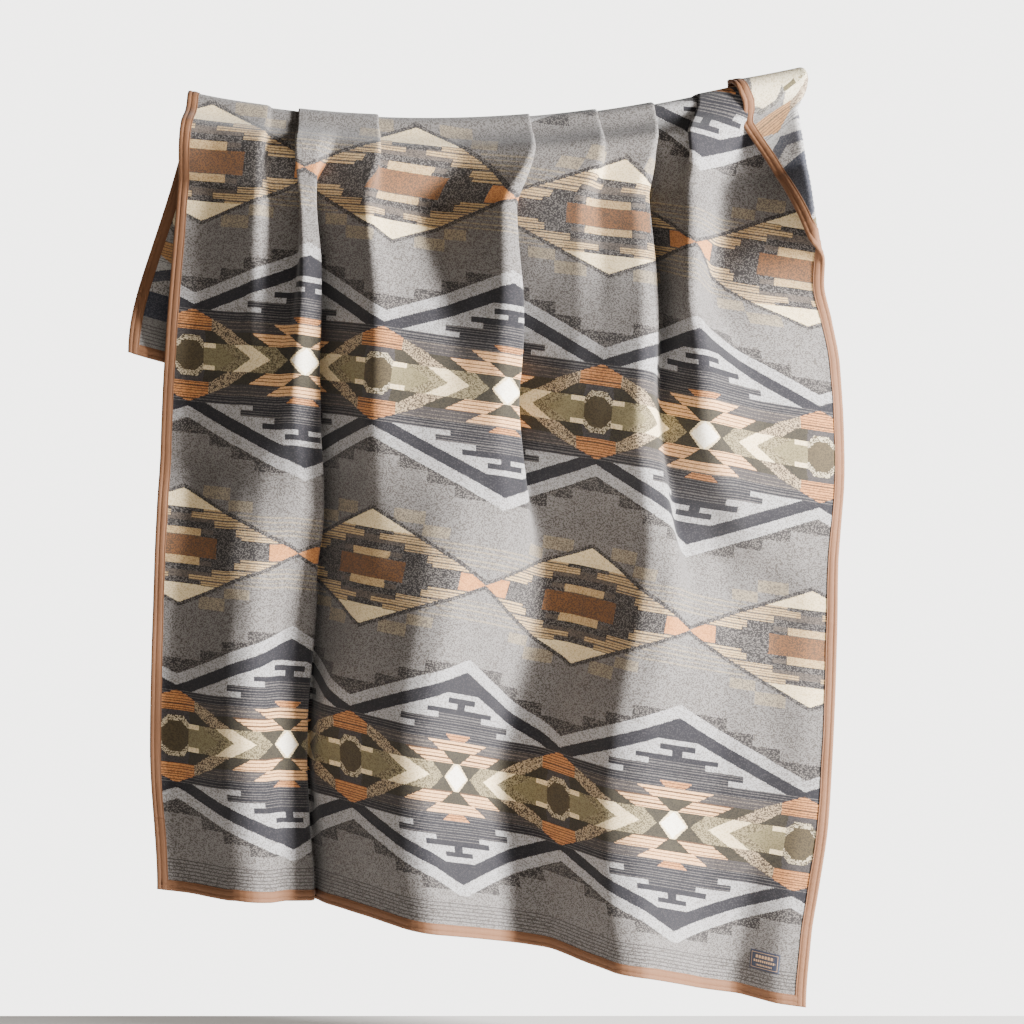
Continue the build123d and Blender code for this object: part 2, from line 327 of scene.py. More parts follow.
def on_cloth(s, t, lift):
    """Points at (s, t), lifted along the outward normal; places past an edge run straight on."""
    s, t, lift = np.broadcast_arrays(*(np.asarray(a, float) for a in (s, t, lift)))
    s_in = np.clip(s, 0.0, CLOTH_W)
    t_in = np.clip(t, 0.0, CLOTH_L)
    point, normal = sample(s_in, t_in)
    past_s = s - s_in
    past_t = t - t_in
    for past, ds, dt in ((past_s, 3.0, 0.0), (past_t, 0.0, 6.0)):
        sign = np.sign(past)
        inner, _ = sample(s_in - sign * ds, t_in - sign * dt)
        way = point - inner
        length = np.maximum(np.linalg.norm(way, axis=-1, keepdims=True), 1e-6)
        point = point + np.where(sign[..., None] != 0, way / length * np.abs(past)[..., None], 0)
    return point + normal * lift[..., None]


def sample(s, t):
    """Middle-layer point and normal at (s, t), read off the grid's quads."""
    d = front_drop(s) - t
    v = np.where(d >= 0, d / front_drop(s), d / (CLOTH_L - front_drop(s)))
    v = np.clip(v, -1.0, 1.0)
    j = np.clip(np.searchsorted(COLUMNS, s, side="right") - 1, 0, len(COLUMNS) - 2)
    i = np.clip(np.searchsorted(ROWS, v, side="right") - 1, 0, len(ROWS) - 2)
    a = ((s - COLUMNS[j]) / (COLUMNS[j + 1] - COLUMNS[j]))[..., None]
    b = ((v - ROWS[i]) / (ROWS[i + 1] - ROWS[i]))[..., None]
    found = []
    for grid in (MIDDLE, OUTWARD):
        low = grid[i, j] * (1 - a) + grid[i, j + 1] * a
        high = grid[i + 1, j] * (1 - a) + grid[i + 1, j + 1] * a
        found.append(low * (1 - b) + high * b)
    point, normal = found
    return point, normal / np.maximum(np.linalg.norm(normal, axis=-1, keepdims=True), 1e-9)


# ------------------------------------------------------------------ meshes

def make_mesh(name, points, faces, uvs, material, smooth_faces=True):
    """A mesh object from points in mm, faces, and one flat place in metres per point."""
    mesh = bpy.data.meshes.new(name)
    mesh.from_pydata((np.asarray(points) * MM).tolist(), [], faces)
    layer = mesh.uv_layers.new(name="flat")
    corners = np.empty(len(mesh.loops), dtype=np.int32)
    mesh.loops.foreach_get("vertex_index", corners)
    layer.data.foreach_set("uv", np.asarray(uvs, dtype=np.float32)[corners].ravel())
    mesh.materials.append(material)
    if smooth_faces:
        mesh.polygons.foreach_set("use_smooth", np.ones(len(mesh.polygons), dtype=bool))
    mesh.update()
    made = bpy.data.objects.new(name, mesh)
    bpy.context.scene.collection.objects.link(made)
    return made


def grid_faces(rows, columns, flip=False, wrap=False):
    """Quads of a grid of points, row by row; wrap joins the last column to the first."""
    i = np.arange(rows - 1)[:, None] * columns
    j = np.arange(columns if wrap else columns - 1)[None, :]
    k = (j + 1) % columns
    quad = [i + j, i + k, i + columns + k, i + columns + j]
    if not flip:
        quad.reverse()
    return np.stack([corner.ravel() for corner in np.broadcast_arrays(*quad)], axis=1).tolist()


def cloth_layer(name, lift, material):
    """One face of the cloth, at a distance from its middle layer."""
    s, t = flat_places()
    points = MIDDLE + OUTWARD * lift
    uvs = np.stack([s, t], axis=2).reshape(-1, 2) * MM
    faces = grid_faces(len(ROWS), len(COLUMNS), flip=lift > 0)
    return make_mesh(name, points.reshape(-1, 3), faces, uvs, material)


# profile of the binding from its inner edge on the face to the cloth's edge:
# distance in from the edge, height over the cloth's middle layer
HALF_PROFILE = (
    (19.2, 1.9), (20.0, 2.2), (20.1, 2.8), (19.5, 3.15), (18.6, 3.0), (17.8, 2.55),
    (17.0, 3.0), (15.8, 3.55), (13.8, 3.8), (11.2, 3.8), (9.2, 3.6), (7.9, 3.1), (7.0, 2.65),
    (6.1, 3.1), (4.8, 3.55), (3.0, 3.6), (1.2, 3.3), (0.0, 2.8), (-0.9, 2.0), (-1.4, 1.0),
    (-1.6, 0.0),
)


def binding(name, side, start, end, material, raised=0.0, seed=0.0):
    """The folded tape along one side or hem, from start to end along it."""
    outer = list(HALF_PROFILE)
    profile = outer + [(inset, -height) for inset, height in reversed(outer[:-1])]
    insets = np.array([p[0] for p in profile])
    heights = np.array([p[1] for p in profile])
    count = int(abs(end - start) / TAPE_PITCH) + 2
    along = np.linspace(start, end, count)
    pull = pucker(along, seed)
    grow = np.sign(heights) * (pull[:, None] * np.minimum(1.0, np.abs(heights)) + raised)
    lift = heights[None, :] + grow
    wander = 0.35 * np.sin(along / 61.0 + seed) + 0.2 * np.sin(along / 17.0 + 2.0 * seed)
    inset = insets[None, :] + wander[:, None] * (insets[None, :] > 10.0)
    points = placed_along(side, along[:, None], inset, lift)
    width = np.concatenate([[0.0], np.cumsum(np.hypot(np.diff(insets), np.diff(heights)))])
    uvs = np.stack(np.broadcast_arrays(along[:, None], width[None, :]), axis=2)
    faces = grid_faces(count, len(profile), flip=True) + end_faces(count, len(profile))
    return make_mesh(name, points.reshape(-1, 3), faces, uvs.reshape(-1, 2) * MM, material)


def end_faces(count, columns):
    """The two ends of a tape: each end's face half is joined to its reverse half."""
    caps = []
    half = columns // 2
    for row in (0, count - 1):
        base = row * columns
        for k in range(half):
            quad = [base + k, base + k + 1, base + columns - 2 - k, base + columns - 1 - k]
            if len(set(quad)) == 4:
                caps.append(quad if row else quad[::-1])
    return caps


def pucker(along, seed):
    """Small rise and fall of the tape between stitches."""
    return (0.16 * np.sin(2 * math.pi * along / 12.4 + seed)
            + 0.12 * np.sin(2 * math.pi * along / 7.9 + 3.1 * seed)
            + 0.10 * np.sin(2 * math.pi * along / 31.0 + 1.7 * seed))


def placed_along(side, along, inset, lift):
    """Points beside an edge: along it, in from it, and lifted off the middle layer."""
    along, inset, lift = np.broadcast_arrays(along, inset, lift)
    if side == "left":
        return on_cloth(inset, along, lift)
    if side == "right":
        return on_cloth(CLOTH_W - inset, along, lift)
    if side == "front":
        return on_cloth(along, inset, lift)
    return on_cloth(along, CLOTH_L - inset, lift)


def stitching(name, runs, material, seed):
    """Short lengths of thread, one sunk into each dip of the seams."""
    rng = np.random.default_rng(seed)
    turn = np.linspace(0.0, 2 * math.pi, STITCH_SIDES, endpoint=False)
    step = np.linspace(0.0, 1.0, STITCH_RINGS)
    arch = np.sin(math.pi * step)
    fat = THREAD_R * (0.55 + 0.45 * arch)
    all_points, all_uvs = [], []
    for side, start, end in runs:
        starts = np.arange(start, end - STITCH_LENGTH, STITCH_PITCH)
        for inset in SEAMS_IN:
            for face in (1, -1):
                first = starts + rng.uniform(-0.25, 0.25, len(starts))
                skew = rng.uniform(-0.22, 0.22, len(starts))
                along = first[:, None, None] + STITCH_LENGTH * step[None, :, None]
                offset = inset + skew[:, None, None] * (2 * step[None, :, None] - 1)
                across = offset + fat[None, :, None] * np.cos(turn)
                rise = STITCH_SUNK + STITCH_ARCH * arch[None, :, None]
                rise = rise + fat[None, :, None] * np.sin(turn)
                points = placed_along(side, along, across, face * rise)
                all_points.append(points.reshape(-1, 3))
                uv = np.stack(np.broadcast_arrays(along, across), axis=-1)
                all_uvs.append(uv.reshape(-1, 2) * MM)
    points = np.concatenate(all_points)
    each = STITCH_RINGS * STITCH_SIDES
    bases = np.arange(len(points) // each) * each
    one = np.array(grid_faces(STITCH_RINGS, STITCH_SIDES, wrap=True))
    faces = (one[None] + bases[:, None, None]).reshape(-1, 4).tolist()
    last = (STITCH_RINGS - 1) * STITCH_SIDES
    for base in bases.tolist():
        faces.append([base + k for k in range(STITCH_SIDES)])
        faces.append([base + last + k for k in reversed(range(STITCH_SIDES))])
    return make_mesh(name, points, faces, np.concatenate(all_uvs), material)


def label_piece(name, material):
    """A small woven label with a folded rim, lying on the cloth."""
    across, up = 41, 27
    a = np.linspace(0.0, 1.0, across)[None, :]
    b = np.linspace(0.0, 1.0, up)[:, None]
    s = CLOTH_W - LABEL_EDGE - LABEL_W + LABEL_W * a
    t = LABEL_EDGE + LABEL_H * b
    s, t = np.broadcast_arrays(s, t)
    rim = np.minimum(np.minimum(a, 1 - a) * LABEL_W, np.minimum(b, 1 - b) * LABEL_H)
    sewn = 0.35 * np.exp(-((rim - 2.4) / 0.9) ** 2)
    lift = HALF_T + 0.15 + 0.95 * smooth(rim / 1.1) - sewn + 0.12 * np.sin(a * 9.0 + b * 5.0)
    points = on_cloth(s, t, lift)
    uvs = np.stack([LABEL_W * a + 0 * b, LABEL_H * b + 0 * a], axis=2) * MM
    faces = grid_faces(up, across)
    return make_mesh(name, points.reshape(-1, 3), faces, uvs.reshape(-1, 2), material)


# ------------------------------------------------------------------ materials

def linear(colour):
    """A colour given as 0-255 display values, turned into light amounts."""
    made = []
    for value in colour:
        c = value / 255.0
        made.append(c / 12.92 if c <= 0.04045 else ((c + 0.055) / 1.055) ** 2.4)
    return (*made, 1.0)


class Nodes:
    """Short calls for building one material; any input is a number or another output."""

    def __init__(self, name):
        self.material = bpy.data.materials.new(name)
        self.material.use_nodes = True
        self.tree = self.material.node_tree
        self.tree.nodes.clear()

    def add(self, kind, **settings):
        node = self.tree.nodes.new(kind)
        for key, value in settings.items():
            setattr(node, key, value)
        return node

    def feed(self, socket, value):
        if isinstance(value, bpy.types.NodeSocket):
            self.tree.links.new(value, socket)
        else:
            socket.default_value = value

    def math(self, operation, *values):
        node = self.add("ShaderNodeMath", operation=operation)
        for socket, value in zip(node.inputs, values):
            self.feed(socket, value)
        return node.outputs[0]

    def line(self, value, slope, start):
        return self.math("MULTIPLY_ADD", value, slope, start)

    def between(self, value, low, high):
        return self.math("COMPARE", value, (low + high) / 2.0, (high - low) / 2.0)

    def below(self, value, limit):
        return self.math("LESS_THAN", value, limit)

    def above(self, value, limit):
        return self.math("GREATER_THAN", value, limit)

    def both(self, *masks):
        found = masks[0]
        for mask in masks[1:]:
            found = self.math("MULTIPLY", found, mask)
        return found

    def layer(self, under, over, *masks):
        """over wherever every mask is 1, and under elsewhere."""
        node = self.add("ShaderNodeMix", data_type="FLOAT")
        self.feed(node.inputs[0], self.both(*masks))
        self.feed(node.inputs[2], under)
        self.feed(node.inputs[3], over)
        return node.outputs[0]

    def mix(self, share, one, other, blend="MIX"):
        node = self.add("ShaderNodeMix", data_type="RGBA", blend_type=blend)
        self.feed(node.inputs[0], share)
        self.feed(node.inputs[6], one)
        self.feed(node.inputs[7], other)
        return node.outputs[2]

    def flat_place(self):
        """The place on the flat piece, in millimetres, as two outputs."""
        uv = self.add("ShaderNodeUVMap", uv_map="flat")
        parts = self.add("ShaderNodeSeparateXYZ")
        self.tree.links.new(uv.outputs[0], parts.inputs[0])
        return (self.math("MULTIPLY", parts.outputs[0], 1000.0),
                self.math("MULTIPLY", parts.outputs[1], 1000.0))

    def vector(self, x, y, z=0.0):
        node = self.add("ShaderNodeCombineXYZ")
        for socket, value in zip(node.inputs, (x, y, z)):
            self.feed(socket, value)
        return node.outputs[0]

    def noise(self, place, scale, detail=2.0):
        node = self.add("ShaderNodeTexNoise")
        self.tree.links.new(place, node.inputs["Vector"])
        node.inputs["Scale"].default_value = scale
        node.inputs["Detail"].default_value = detail
        return node.outputs[0]

    def random(self, place):
        node = self.add("ShaderNodeTexWhiteNoise", noise_dimensions="2D")
        self.tree.links.new(place, node.inputs["Vector"])
        return node.outputs[0]

    def finish(self, colour, height, bump_distance, bump_strength, **settings):
        """The shader itself: its colour, its bump, and constants on its own sockets."""
        shader = self.add("ShaderNodeBsdfPrincipled")
        self.feed(shader.inputs["Base Color"], colour)
        for key, value in settings.items():
            shader.inputs[key.replace("_", " ")].default_value = value
        bump = self.add("ShaderNodeBump")
        bump.inputs["Distance"].default_value = bump_distance
        bump.inputs["Strength"].default_value = bump_strength
        self.tree.links.new(height, bump.inputs["Height"])
        self.tree.links.new(bump.outputs[0], shader.inputs["Normal"])
        output = self.add("ShaderNodeOutputMaterial")
        self.tree.links.new(shader.outputs[0], output.inputs[0])
        return self.material


# the yarn colours of the pattern, as (yarn, fleck, share of flecks) on each face
YARNS = (
    ("GREY", ((112, 108, 105), (78, 73, 69), 0.4), ((50, 52, 60), (72, 72, 78), 0.35)),
    ("BLACK", ((30, 29, 33), (46, 44, 46), 0.2), ((172, 169, 165), (142, 139, 136), 0.3)),
    ("PALE", ((150, 148, 147), (112, 108, 105), 0.35), ((66, 66, 72), (88, 87, 90), 0.3)),
    ("SMOKE", ((46, 43, 42), (96, 91, 87), 0.34), ((158, 154, 150), (104, 100, 97), 0.4)),
    ("ASH", ((176, 162, 134), (70, 62, 48), 0.45), ((84, 80, 76), (132, 127, 118), 0.4)),
    ("WHITE", ((248, 240, 222), (232, 220, 198), 0.3), ((98, 90, 70), (80, 72, 58), 0.3)),
    ("OLIVE", ((52, 47, 36), (40, 36, 29), 0.4), ((228, 214, 186), (200, 184, 154), 0.3)),
    ("CREAM", ((222, 202, 160), (196, 172, 130), 0.3), ((98, 90, 64), (80, 72, 54), 0.3)),
    ("MOSS", ((132, 120, 90), (78, 69, 50), 0.45), ((186, 176, 148), (122, 112, 84), 0.4)),
    ("WING", ((118, 108, 78), (98, 89, 63), 0.35), ((206, 194, 164), (180, 166, 134), 0.35)),
    ("HEART", ((72, 62, 43), (58, 50, 36), 0.4), ((214, 200, 170), (184, 168, 136), 0.35)),
    ("TAN", ((186, 158, 114), (154, 126, 88), 0.35), ((116, 106, 86), (92, 84, 68), 0.35)),
    ("PEACH", ((214, 166, 116), (190, 142, 96), 0.35), ((204, 164, 122), (176, 138, 100), 0.3)),
    ("ORANGE", ((182, 122, 72), (150, 98, 58), 0.4), ((188, 142, 96), (160, 120, 84), 0.3)),
    ("RUST", ((118, 80, 50), (84, 64, 48), 0.5), ((150, 112, 78), (112, 92, 74), 0.4)),
    ("TAUPE", ((94, 85, 77), (68, 62, 58), 0.45), ((118, 113, 108), (90, 86, 82), 0.4)),
    ("DUSK", ((62, 57, 56), (48, 45, 44), 0.4), ((140, 136, 132), (112, 108, 104), 0.4)),
    ("UMBER", ((80, 58, 40), (62, 46, 34), 0.4), ((120, 98, 74), (98, 82, 64), 0.4)),
    ("BARK", ((158, 138, 108), (70, 60, 50), 0.5), ((166, 148, 124), (110, 95, 80), 0.45)),
    ("HEM", ((112, 108, 105), (78, 73, 69), 0.4), ((118, 115, 112), (98, 95, 92), 0.4)),
    ("LINE", ((70, 66, 64), (58, 55, 53), 0.4), ((82, 79, 77), (70, 68, 66), 0.4)),
    ("MIST", ((138, 126, 106), (100, 91, 80), 0.45), ((66, 66, 72), (52, 53, 60), 0.4)),
    ("PIN", ((84, 80, 78), (64, 61, 60), 0.4), ((120, 117, 114), (100, 97, 95), 0.4)),
)
YARN = {row[0]: number for number, row in enumerate(YARNS)}
REPEAT_S = 255.0                # half the repeat across; 0 is a bright diamond's column
FIRST_S = 303.0
REPEAT_T = 365.5                # half the repeat along; 0 is the middle of a dark band
FIRST_T = 298.0
THREAD_S = 2.0                  # one step of the weave across and along
THREAD_T = 1.5

# the dark band's middle, row by row: from q, to q, the yarn nearest the eye column, then
# (yarn, its limit p at q = 0, growth of that limit with q) in towards the diamond column
BAND_ROWS = (
    (-1.0, 26.0, "WING", (("MOSS", 150, 1.8), ("CREAM", 117, 1.62), ("MOSS", 75, 1.75),
                          ("OLIVE", 37, 1.21), ("CREAM", 32, -0.95), ("WHITE", 28, -1.12))),
    (26.0, 50.0, "DUSK", (("OLIVE", 218, 0.2), ("BARK", 130, 1.6), ("OLIVE", 77, 1.75),
                          ("GLOW", 38, 1.68), ("OLIVE", -30, 1.45))),
)
# stepped figure over the band, on the diamond column: from q, to q, half width
PYRAMID = ((140, 150, 37), (130, 140, 12), (120, 130, 85), (110, 120, 60), (98, 110, 136),
           (88, 98, 108))
# stepped shadow outside the zigzag: from p, to p, height q
STEPS = ((30, 98, 213), (98, 150, 191.5), (150, 203, 170), (203, 256, 148.5))
# inside the tan rhombus: yarn, from q, to q, from p, to p
TAN_ROWS = (
    ("CREAM", 250, 293, 150, 256),
    ("HAZE", 292, 300, 120, 207),
    ("SMOKE", 293, 305, 207, 256),
    ("HAZE", 300, 312, 125, 234),
    ("SMOKE", 312, 318, 152, 182),
    ("HAZE", 311, 325, 95, 180),
    ("SMOKE", 318, 331, 182, 256),
    ("SMOKE", 325, 340, 110, 182),
    ("HAZE", 328, 347, 40, 130),
    ("TAN", 331, 345, 210, 256),
    ("SMOKE", 340, 350, 120, 210),
    ("RUST", 346, 367, 172, 256),
    ("SMOKE", 347, 367, 60, 172),
    ("ORANGE", 350, 367, -1, 62),
)


def pattern(n, s, t):
    """The number of the yarn at a place on the cloth."""
    step_s = n.line(n.math("FLOOR", n.math("DIVIDE", s, THREAD_S)), THREAD_S, THREAD_S / 2)
    step_t = n.line(n.math("FLOOR", n.math("DIVIDE", t, THREAD_T)), THREAD_T, THREAD_T / 2)
    p = n.math("PINGPONG", n.math("SUBTRACT", step_s, FIRST_S), REPEAT_S)
    q = n.math("PINGPONG", n.math("SUBTRACT", step_t, FIRST_T), REPEAT_T)

    def striped(one, other, pitch, share):
        phase = n.math("FRACT", n.math("DIVIDE", q, pitch))
        return n.line(n.below(phase, share), YARN[other] - YARN[one], YARN[one])

    special = {
        "FLAME": striped("ORANGE", "UMBER", 5.1, 0.34),
        "GLOW": striped("PEACH", "UMBER", 6.8, 0.27),
        "HAZE": striped("TAN", "TAUPE", 5.1, 0.4),
        "PINS": striped("BLACK", "PIN", 5.1, 0.34),
        "DIM": striped("DUSK", "TAUPE", 6.8, 0.26),
    }

    def yarn(name):
        return special.get(name, YARN.get(name))

    found = yarn("GREY")
    # faint steps and lines outside the tan rhombus
    found = n.layer(found, yarn("MIST"), n.between(q, 292, 340), n.below(p, 130),
                    n.below(n.math("FRACT", n.math("DIVIDE", q, 8.5)), 0.3))
    found = n.layer(found, yarn("MIST"), n.between(q, 272, 292), n.between(p, 100, 150))
    found = n.layer(found, yarn("MIST"), n.between(q, 248, 272), n.between(p, 150, 210))
    # stepped shadow, pale zigzag, dark zigzag and the pale field inside it
    for low, high, top in STEPS:
        found = n.layer(found, yarn("SMOKE"), n.between(p, low, high), n.below(q, top))
    found = n.layer(found, yarn("PALE"), n.below(q, n.line(p, -0.42, 226)))
    found = n.layer(found, yarn("BLACK"), n.below(q, n.line(p, -0.41, 202)))
    inner = n.math("MINIMUM", n.line(p, -0.40, 176), 160.0)
    found = n.layer(found, yarn("PALE"), n.below(q, inner))
    for low, high, half in PYRAMID:
        colour = yarn("PINS") if high <= 125 else yarn("BLACK")
        found = n.layer(found, colour, n.between(q, low, high), n.below(p, half))
    # pinstripes and the band's dim border
    found = n.layer(found, yarn("PINS"), n.below(q, 88))
    found = n.layer(found, yarn("DIM"), n.below(q, 70))
    # bright fans over the diamond column and the bright top over the eye column
    found = n.layer(found, yarn("FLAME"), n.between(q, 70, 82), n.below(p, n.line(q, 1.3, -71)))
    found = n.layer(found, yarn("GLOW"), n.between(q, 48, 68), n.below(p, n.line(q, 1.75, -39)))
    found = n.layer(found, yarn("BARK"), n.below(q, n.line(p, 0.41, -15.6)), n.above(q, 50))
    found = n.layer(found, yarn("FLAME"), n.below(q, n.line(p, 0.41, -15.6)), n.above(q, 50),
                    n.above(p, 212))
    for low, high, far, edges in BAND_ROWS:
        colour = yarn(far)
        for name, start, growth in edges:
            colour = n.layer(colour, yarn(name), n.below(p, n.line(q, growth, start)))
        found = n.layer(found, colour, n.between(q, low, high))
    # the eye: a dark eight-sided medallion in a flecked ring, with two pale notches
    far = n.math("SUBTRACT", REPEAT_S, p)
    corner = n.math("MULTIPLY", n.math("ADD", far, q), 0.72)
    reach = n.math("MAXIMUM", n.math("MAXIMUM", far, q), corner)
    found = n.layer(found, yarn("ASH"), n.below(reach, 39))
    found = n.layer(found, yarn("HEART"), n.below(reach, 29))
    found = n.layer(found, yarn("WING"), n.between(p, 196, 226), n.below(q, 17))
    found = n.layer(found, yarn("CREAM"), n.between(p, 200, 226), n.between(q, 17, 26))
    # the tan rhombus
    rim = n.line(p, -0.429, 365.5)
    found = n.layer(found, yarn("SMOKE"), n.above(q, n.math("SUBTRACT", rim, 8.0)))
    inside = n.above(q, rim)
    found = n.layer(found, yarn("TAUPE"), inside)
    for name, q_low, q_high, p_low, p_high in TAN_ROWS:
        found = n.layer(found, yarn(name), n.between(q, q_low, q_high),
                        n.between(p, p_low, p_high), inside)
    # fine lines towards both hems
    edge = n.math("MINIMUM", t, n.math("SUBTRACT", CLOTH_L, t))
    found = n.layer(found, yarn("HEM"), n.below(edge, 76))
    lines = n.below(n.math("FRACT", n.math("DIVIDE", edge, 6.6)), 0.3)
    return n.layer(found, yarn("LINE"), n.between(edge, 26, 66), lines)


def ramp_of(n, index, colours):
    """Constant steps of colour, one for each yarn."""
    node = n.add("ShaderNodeValToRGB")
    node.color_ramp.interpolation = "CONSTANT"
    stops = node.color_ramp.elements
    while len(stops) < len(colours):
        stops.new(1.0)
    for number, colour in enumerate(colours):
        stops[number].position = number / len(colours)
        stops[number].color = colour
    place = n.line(index, 1.0 / len(colours), 0.5 / len(colours))
    n.tree.links.new(place, node.inputs[0])
    return node.outputs[0]


def wool(name, side):
    """The patterned double cloth: side 1 is the face, side 2 the reverse."""
    n = Nodes(name)
    s, t = n.flat_place()
    index = pattern(n, s, t)
    cell = n.vector(n.math("FLOOR", n.math("DIVIDE", s, THREAD_S)),
                    n.math("FLOOR", n.math("DIVIDE", t, THREAD_T)))
    chance = n.random(cell)
    yarn = ramp_of(n, index, [linear(row[side][0]) for row in YARNS])
    fleck = ramp_of(n, index, [linear(row[side][1]) for row in YARNS])
    share = ramp_of(n, index, [(row[side][2],) * 3 + (1.0,) for row in YARNS])
    colour = n.mix(n.below(chance, share), yarn, fleck)
    place = n.vector(s, t)
    # slow changes of tone, and the fine haze of loose fibre
    cloudy = n.noise(place, 0.006, 3.0)
    fibre = n.noise(n.vector(n.math("MULTIPLY", s, 0.35), t), 0.9, 3.0)
    tone = n.line(cloudy, 0.16, 0.92)
    tone = n.math("MULTIPLY", tone, n.line(fibre, 0.24, 0.88))
    colour = n.mix(1.0, colour, n.vector(tone, tone, tone), "MULTIPLY")
    # twill ribs with the fibre over them
    diagonal = n.math("ADD", n.math("MULTIPLY", s, 0.6), t)
    rib = n.math("SINE", n.math("MULTIPLY", diagonal, 2 * math.pi / 1.9))
    height = n.math("ADD", n.math("MULTIPLY", rib, 0.25), fibre)
    return n.finish(colour, height, 0.0006, 0.55, Roughness=0.92, Specular_IOR_Level=0.18,
                    Sheen_Weight=0.16, Sheen_Roughness=0.55)


def tape(name):
    """The binding: a fine ribbed tape, with a painted highlight along its outer fold."""
    n = Nodes(name)
    along, across = n.flat_place()
    place = n.vector(along, across)
    rib = n.math("SINE", n.math("MULTIPLY", across, 2 * math.pi / 0.9))
    cloudy = n.noise(place, 0.02, 3.0)
    fibre = n.noise(place, 0.8, 3.0)
    # painted highlight: the lit tape tone is mixed in over the shaded tone more strongly near
    # the rounded outer fold
    fold_distance = n.math("SMOOTH_MIN", n.math("ABSOLUTE", n.math("SUBTRACT", across, 23.0)), 5.0, 2.0)
    light = n.line(fold_distance, -0.05, 0.35)
    colour = n.mix(light, linear((106, 71, 46)), linear((136, 96, 67)))
    tone = n.math("MULTIPLY", n.line(cloudy, 0.25, 0.87), n.line(fibre, 0.3, 0.85))
    colour = n.mix(1.0, colour, n.vector(tone, tone, tone), "MULTIPLY")
    height = n.math("ADD", n.math("MULTIPLY", rib, 0.4), fibre)
    return n.finish(colour, height, 0.0003, 0.5, Roughness=0.72, Specular_IOR_Level=0.3,
                    Sheen_Weight=0.12, Sheen_Roughness=0.4)


def thread(name, colour):
    """Twisted sewing thread."""
    n = Nodes(name)
    along, across = n.flat_place()
    twist = n.math("SINE", n.math("MULTIPLY", n.math("ADD", along, across), 2 * math.pi / 0.7))
    tone = n.line(twist, 0.12, 0.9)
    colour = n.mix(1.0, linear(colour), n.vector(tone, tone, tone), "MULTIPLY")
    return n.finish(colour, twist, 0.0001, 0.5, Roughness=0.55, Specular_IOR_Level=0.4)


def label_weave(name):
    """Navy satin weave with rows of plain tan bars and a thin border; no lettering."""
    n = Nodes(name)
    x, y = n.flat_place()
    colour_index = 0.0
    bars = ((22, 27.5, 11, 49, 6.1, 0.72), (14.5, 18.5, 8, 52, 4.3, 0.66),
            (7.5, 10.5, 14, 46, 3.2, 0.6))
    for low, high, left, right, pitch, share in bars:
        gaps = n.below(n.math("FRACT", n.math("DIVIDE", x, pitch)), share)
        colour_index = n.layer(colour_index, 1.0, n.between(y, low, high),
                               n.between(x, left, right), gaps)
    rim = n.math("MINIMUM", n.math("MINIMUM", x, n.math("SUBTRACT", LABEL_W, x)),
                 n.math("MINIMUM", y, n.math("SUBTRACT", LABEL_H, y)))
    colour_index = n.layer(colour_index, 1.0, n.between(rim, 3.6, 4.3))
    colour = n.mix(colour_index, linear((42, 47, 62)), linear((186, 150, 112)))
    weave = n.math("SINE", n.math("MULTIPLY", y, 2 * math.pi / 0.6))
    across = n.math("SINE", n.math("MULTIPLY", x, 2 * math.pi / 0.8))
    height = n.math("MULTIPLY", weave, across)
    tone = n.line(height, 0.1, 0.95)
    colour = n.mix(1.0, colour, n.vector(tone, tone, tone), "MULTIPLY")
    return n.finish(colour, height, 0.0001, 0.5, Roughness=0.5, Specular_IOR_Level=0.4,
                    Sheen_Weight=0.1)


def plain(name, colour):
    """A matt surface of one colour."""
    n = Nodes(name)
    return n.finish(linear(colour), n.noise(n.flat_place()[0], 0.5), 0.0001, 0.1,
                    Roughness=0.85, Specular_IOR_Level=0.2)


# ------------------------------------------------------------------ the pieces

wool_face = wool("wool_face", 1)
wool_reverse = wool("wool_reverse", 2)
tape_camel = tape("binding_tape")
thread_brown = thread("seam_thread", (118, 76, 50))
label_navy = label_weave("label_weave")

blanket_face = cloth_layer("blanket_face", HALF_T, wool_face)
blanket_reverse = cloth_layer("blanket_reverse", -HALF_T, wool_reverse)

bindings = {
    "left_lower": binding("bound_left_lower", "left", -1.0, JOIN_T, tape_camel, 0.0, 0.7),
    "left_upper": binding("bound_left_upper", "left", JOIN_T - JOIN_LAP, CLOTH_L + 1.0,
                          tape_camel, 0.75, 1.9),
    "right": binding("bound_right", "right", -1.0, CLOTH_L + 1.0, tape_camel, 0.3, 3.2),
    "front_hem": binding("bound_front_hem", "front", 8.0, CLOTH_W - 8.0, tape_camel, 0.0, 4.4),
    "back_hem": binding("bound_back_hem", "back", 8.0, CLOTH_W - 8.0, tape_camel, 0.0, 5.1),
}
seams = {
    "left": stitching("sewn_left", (("left", 6.0, CLOTH_L - 6.0),), thread_brown, 11),
    "right": stitching("sewn_right", (("right", 6.0, CLOTH_L - 6.0),), thread_brown, 12),
    "front_hem": stitching("sewn_front_hem", (("front", 24.0, CLOTH_W - 24.0),),
                           thread_brown, 13),
    "back_hem": stitching("sewn_back_hem", (("back", 24.0, CLOTH_W - 24.0),),
                          thread_brown, 14),
}
woven_label = label_piece("woven_label", label_navy)

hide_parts("woven_cloth")
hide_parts("woven_cloth")
for part_name, piece in bindings.items():
    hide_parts("binding_" + part_name)
for part_name, piece in seams.items():
    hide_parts("stitching_" + part_name)
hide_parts("label")
others = [blanket_reverse, *bindings.values(), *seams.values(), woven_label]
for piece in (blanket_face, *others):
    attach(piece, "root")

# ------------------------------------------------------------------ floor, light and camera

